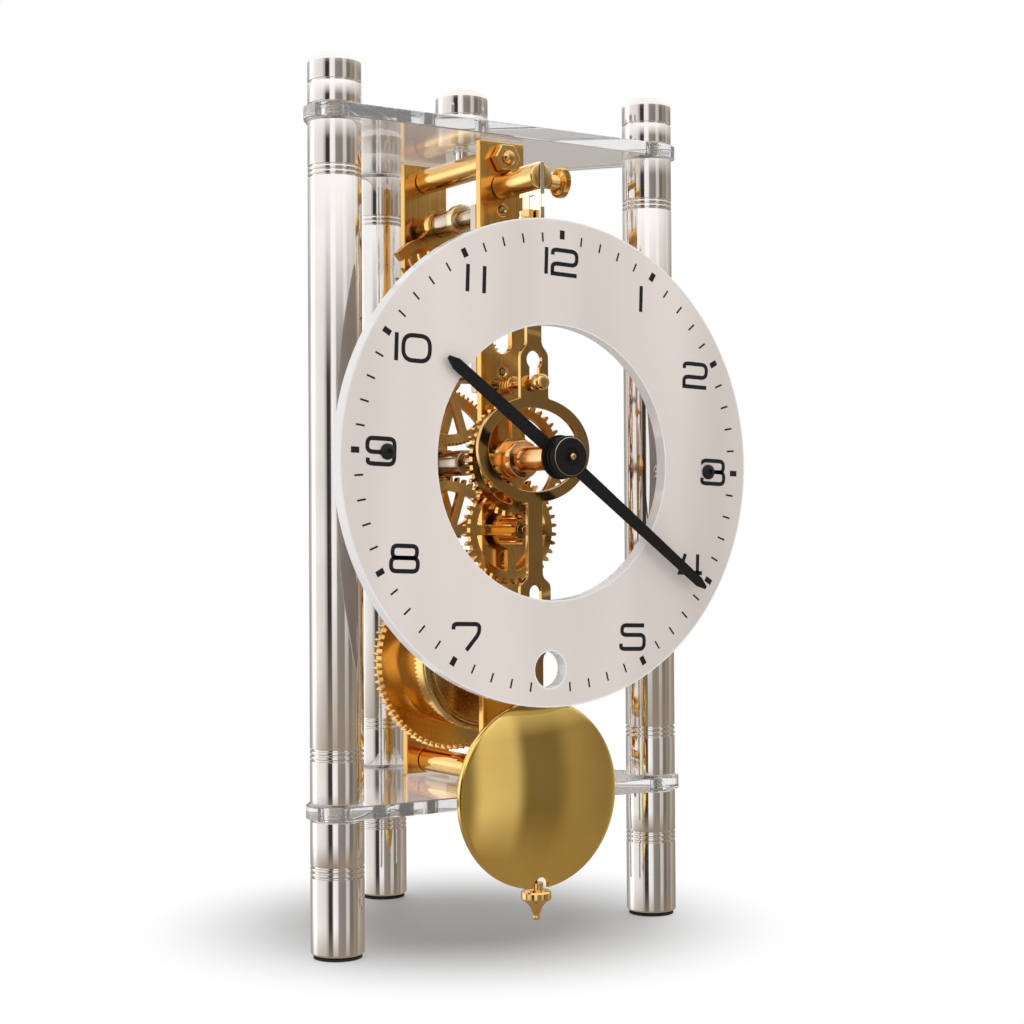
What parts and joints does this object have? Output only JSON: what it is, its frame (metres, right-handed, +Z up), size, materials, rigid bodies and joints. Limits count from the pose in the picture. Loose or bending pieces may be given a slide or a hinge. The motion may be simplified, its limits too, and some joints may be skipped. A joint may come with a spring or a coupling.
{
  "type": "skeleton mantel clock",
  "caption": "Skeleton mantel clock: three metal columns and two clear plates hold a narrow brass pendulum movement behind a ring dial.",
  "frame": {"origin": "on the surface it stands on, under the middle of its bounding box", "axes": "+Z up, -Y towards the dial side (the viewer), +X to the viewer's right when facing the dial"},
  "size_m": [0.1098, 0.0936, 0.2],
  "materials": {
    "aluminium": "satin polished",
    "clear_acrylic": "clear, polished",
    "dial_satin": "satin silver-white face on a clear disc",
    "brass": "satin",
    "polished_brass": "mirror polished",
    "copper": "polished",
    "steel": "polished",
    "spring_steel": "blued",
    "black_metal": "matte black",
    "rubber": "matte"
  },
  "bodies": {
    "frame": {"foot_pad_left": "rubber", "column_foot_left": "aluminium", "column_tube_left": "aluminium", "column_cap_left": "aluminium", "column_rod_left": "steel", "foot_pad_right": "rubber", "column_foot_right": "aluminium", "column_tube_right": "aluminium", "column_cap_right": "aluminium", "column_rod_right": "steel", "foot_pad_back": "rubber", "column_foot_back": "aluminium", "column_tube_back": "aluminium", "column_cap_back": "aluminium", "column_rod_back": "steel", "dial_standoff_left": "aluminium", "dial_screw_left": "black_metal", "dial_standoff_right": "aluminium", "dial_screw_right": "black_metal", "bottom_plate": "clear_acrylic", "top_plate": "clear_acrylic", "front_movement_plate": "brass", "back_movement_plate": "brass", "top_pillar": "brass", "bottom_pillar": "brass", "pillar_nut_top": "brass", "pillar_nut_bottom": "brass", "suspension_post": "brass", "thumb_screw": "brass", "movement_screw": "steel", "suspension_spring": "steel", "movement_cap": "aluminium", "dial": "dial_satin"},
    "minute_group": {"centre_arbor": "steel", "centre_wheel": "brass", "cannon_pinion": "steel", "minute_hand": "black_metal", "hand_nut": "black_metal"},
    "hour_group": {"hour_wheel": "copper", "hour_hand": "black_metal"},
    "minute_wheel": {"minute_wheel": "brass"},
    "barrel": {"barrel": "brass", "barrel_cap": "brass", "mainspring": "spring_steel"},
    "intermediate": {"intermediate_wheel": "brass", "intermediate_arbor": "steel"},
    "third": {"third_wheel": "brass", "third_arbor": "steel"},
    "escape": {"escape_wheel": "brass", "escape_arbor": "steel"},
    "winding": {"winding_arbor": "steel", "ratchet_wheel": "steel"},
    "click": {"click": "steel"},
    "anchor": {"anchor": "brass", "anchor_arbor": "steel", "crutch": "steel"},
    "pendulum": {"pendulum_rod": "brass", "suspension_block": "steel"},
    "bob": {"pendulum_bob": "polished_brass"},
    "rating_nut": {"rating_nut": "polished_brass"}
  },
  "joints": [
    {"name": "minute_turn", "type": "hinge", "parent": "frame", "child": "minute_group", "pos_m": [0, -0.01665, 0.1104], "axis": [0, 1, 0], "continuous": true},
    {"name": "hour_turn", "type": "hinge", "parent": "frame", "child": "hour_group", "pos_m": [0, -0.01665, 0.1104], "axis": [0, 1, 0], "continuous": true},
    {"name": "minute_wheel_turn", "type": "hinge", "parent": "frame", "child": "minute_wheel", "pos_m": [0, -0.01665, 0.0942], "axis": [0, 1, 0], "continuous": true},
    {"name": "intermediate_turn", "type": "hinge", "parent": "frame", "child": "intermediate", "pos_m": [0, -0.01665, 0.0876], "axis": [0, 1, 0], "continuous": true},
    {"name": "barrel_turn", "type": "hinge", "parent": "frame", "child": "barrel", "pos_m": [0, -0.01665, 0.0632], "axis": [0, 1, 0], "continuous": true},
    {"name": "third_turn", "type": "hinge", "parent": "frame", "child": "third", "pos_m": [0, -0.01665, 0.1312], "axis": [0, 1, 0], "continuous": true},
    {"name": "escape_turn", "type": "hinge", "parent": "frame", "child": "escape", "pos_m": [0, -0.01665, 0.1486], "axis": [0, 1, 0], "continuous": true},
    {"name": "winding_turn", "type": "hinge", "parent": "frame", "child": "winding", "pos_m": [0, -0.01665, 0.0632], "axis": [0, 1, 0], "range_deg": [0, 1440]},
    {"name": "click_lift", "type": "hinge", "parent": "frame", "child": "click", "pos_m": [0.0022, -0.01665, 0.0744], "axis": [0, 1, 0], "range_deg": [0, 12], "stiffness_Nm_per_rad": 0.001},
    {"name": "pendulum_swing", "type": "hinge", "parent": "frame", "child": "pendulum", "pos_m": [0, -0.03065, 0.1692], "axis": [0, 1, 0], "range_deg": [-3, 3]},
    {"name": "anchor_swing", "type": "hinge", "parent": "frame", "child": "anchor", "pos_m": [0, -0.01665, 0.1692], "axis": [0, 1, 0], "range_deg": [-3.2, 3.2]},
    {"name": "bob_height", "type": "slide", "parent": "pendulum", "child": "bob", "axis": [0, 0, 1], "range_m": [-0.002, 0.002]},
    {"name": "rating_turn", "type": "hinge", "parent": "bob", "child": "rating_nut", "pos_m": [0, -0.03065, 0.01], "axis": [0, 0, 1], "range_deg": [-1450, 1450]}
  ],
  "couplings": [
    {"joint": "hour_turn", "follows": "minute_turn", "ratio": 0.083333},
    {"joint": "minute_wheel_turn", "follows": "minute_turn", "ratio": -0.33333},
    {"joint": "intermediate_turn", "follows": "minute_turn", "ratio": -0.16667},
    {"joint": "barrel_turn", "follows": "minute_turn", "ratio": 0.020833},
    {"joint": "third_turn", "follows": "minute_turn", "ratio": -12},
    {"joint": "escape_turn", "follows": "minute_turn", "ratio": 162.86},
    {"joint": "anchor_swing", "follows": "pendulum_swing", "ratio": 1},
    {"joint": "rating_turn", "follows": "bob_height", "rad_per_m": 12566}
  ]
}
